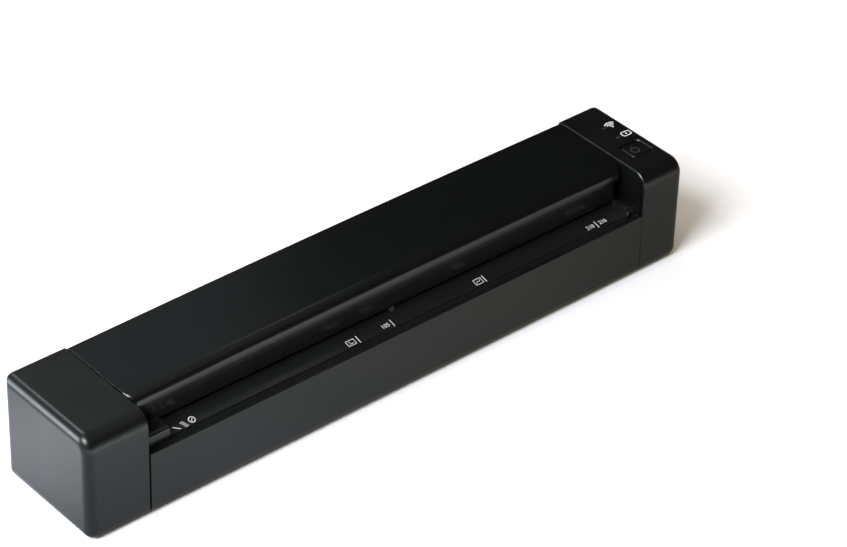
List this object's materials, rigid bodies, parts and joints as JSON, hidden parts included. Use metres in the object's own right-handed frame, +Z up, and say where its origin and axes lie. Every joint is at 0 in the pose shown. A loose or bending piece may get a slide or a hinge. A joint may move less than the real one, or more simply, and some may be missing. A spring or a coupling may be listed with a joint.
{
  "type": "handheld wand scanner",
  "caption": "Slim sheet-fed wand scanner with square end caps, an opening top cover over a driven paper path, a power button and status lights.",
  "frame": {"origin": "on the standing surface, under the middle of the body", "axes": "+X along the length towards the cap with the power button, -Y towards the front where paper goes in, +Z up"},
  "size_m": [0.2906, 0.0516, 0.0463],
  "materials": {
    "satin_black": "satin, fine moulded grain",
    "gloss_black": "high gloss",
    "chassis_grey": "plain moulded",
    "white_plastic": "plain, even white",
    "gear_plastic": "moulded, slightly waxy",
    "bushing_bronze": "sintered bronze, oily",
    "steel": "ground",
    "spring_steel": "rolled strip",
    "roller_rubber": "ground rubber",
    "foot_rubber": "moulded rubber",
    "board_green": "solder mask",
    "socket_metal": "plated sheet",
    "battery_wrap": "shrink film",
    "sensor_glass": "clear, polished",
    "light_guide_clear": "clear, slightly frosted"
  },
  "bodies": {
    "housing": {"left_end_cap": "satin_black", "right_end_cap": "satin_black", "lower_housing": "satin_black", "left_chassis_plate": "satin_black", "right_chassis_plate": "satin_black", "lower_paper_guide": "gloss_black", "sensor_housing": "chassis_grey", "power_switch": "chassis_grey", "feed_bushing_left": "bushing_bronze", "feed_bushing_right": "bushing_bronze", "exit_bushing_left": "bushing_bronze", "exit_bushing_right": "bushing_bronze", "left_hinge_pin": "steel", "right_hinge_pin": "steel", "paper_flag_pin": "steel", "motor_case": "steel", "front_left_screw": "steel", "back_left_screw": "steel", "front_right_screw": "steel", "back_right_screw": "steel", "left_sensor_spring": "spring_steel", "right_sensor_spring": "spring_steel", "front_left_foot": "foot_rubber", "back_left_foot": "foot_rubber", "front_right_foot": "foot_rubber", "back_right_foot": "foot_rubber", "main_board": "board_green", "control_board": "board_green", "sensor_board": "board_green", "usb_socket": "socket_metal", "card_socket": "socket_metal", "radio_board": "socket_metal", "battery_pack": "battery_wrap", "sensor_glass": "sensor_glass", "wireless_light_guide": "light_guide_clear", "battery_light_guide": "light_guide_clear"},
    "cover": {"top_cover": "satin_black", "upper_paper_guide": "gloss_black", "background_strip": "white_plastic", "left_pinch_spring": "spring_steel", "right_pinch_spring": "spring_steel"},
    "power_key": {"power_button": "satin_black"},
    "feed_roller": {"feed_roller_shaft": "steel", "feed_sleeve_left": "roller_rubber", "feed_sleeve_right": "roller_rubber", "feed_gear": "gear_plastic"},
    "exit_roller": {"exit_roller_shaft": "steel", "exit_sleeve_left": "roller_rubber", "exit_sleeve_right": "roller_rubber", "exit_gear": "gear_plastic"},
    "transfer": {"transfer_gear": "gear_plastic"},
    "reduction": {"reduction_gear": "gear_plastic"},
    "motor_rotor": {"motor_pinion": "gear_plastic"},
    "front_pinch_roller": {"front_pinch_axle": "steel", "front_pinch_roller_left": "chassis_grey", "front_pinch_roller_right": "chassis_grey"},
    "rear_pinch_roller": {"rear_pinch_axle": "steel", "rear_pinch_roller_left": "chassis_grey", "rear_pinch_roller_right": "chassis_grey"},
    "flag_lever": {"paper_flag": "chassis_grey"}
  },
  "joints": [
    {"name": "cover_hinge", "type": "hinge", "parent": "housing", "child": "cover", "pos_m": [0.00495, 0.02, 0.0377], "axis": [-1, 0, 0], "range_deg": [0, 70]},
    {"name": "power_button_press", "type": "slide", "parent": "housing", "child": "power_key", "axis": [0, 0, -1], "range_m": [0, 0.0005], "stiffness_N_per_m": 800, "springref_m": -0.0005},
    {"name": "feed_roller_spin", "type": "hinge", "parent": "housing", "child": "feed_roller", "pos_m": [0.00495, -0.0074, 0.0252], "axis": [1, 0, 0], "continuous": true},
    {"name": "exit_roller_spin", "type": "hinge", "parent": "housing", "child": "exit_roller", "pos_m": [0.00495, 0.01775, 0.0252], "axis": [1, 0, 0], "continuous": true},
    {"name": "transfer_gear_spin", "type": "hinge", "parent": "housing", "child": "transfer", "pos_m": [-0.123, 0.00517, 0.02599], "axis": [1, 0, 0], "continuous": true},
    {"name": "reduction_gear_spin", "type": "hinge", "parent": "housing", "child": "reduction", "pos_m": [-0.125, -0.013, 0.01894], "axis": [1, 0, 0], "continuous": true},
    {"name": "motor_spin", "type": "hinge", "parent": "housing", "child": "motor_rotor", "pos_m": [-0.123, -0.002, 0.01355], "axis": [1, 0, 0], "continuous": true},
    {"name": "front_pinch_spin", "type": "hinge", "parent": "cover", "child": "front_pinch_roller", "pos_m": [0.00495, -0.0074, 0.0327], "axis": [1, 0, 0], "continuous": true},
    {"name": "rear_pinch_spin", "type": "hinge", "parent": "cover", "child": "rear_pinch_roller", "pos_m": [0.00495, 0.01775, 0.0327], "axis": [1, 0, 0], "continuous": true},
    {"name": "paper_flag_swing", "type": "hinge", "parent": "housing", "child": "flag_lever", "pos_m": [0.00495, -0.014, 0.0246], "axis": [-1, 0, 0], "range_deg": [0, 35], "stiffness_Nm_per_rad": 0.0002, "springref_deg": -11.46}
  ],
  "couplings": [
    {"joint": "exit_roller_spin", "follows": "feed_roller_spin", "ratio": 1},
    {"joint": "transfer_gear_spin", "follows": "feed_roller_spin", "ratio": -0.63636},
    {"joint": "reduction_gear_spin", "follows": "feed_roller_spin", "ratio": -1.4},
    {"joint": "motor_spin", "follows": "feed_roller_spin", "ratio": 4.0444}
  ]
}
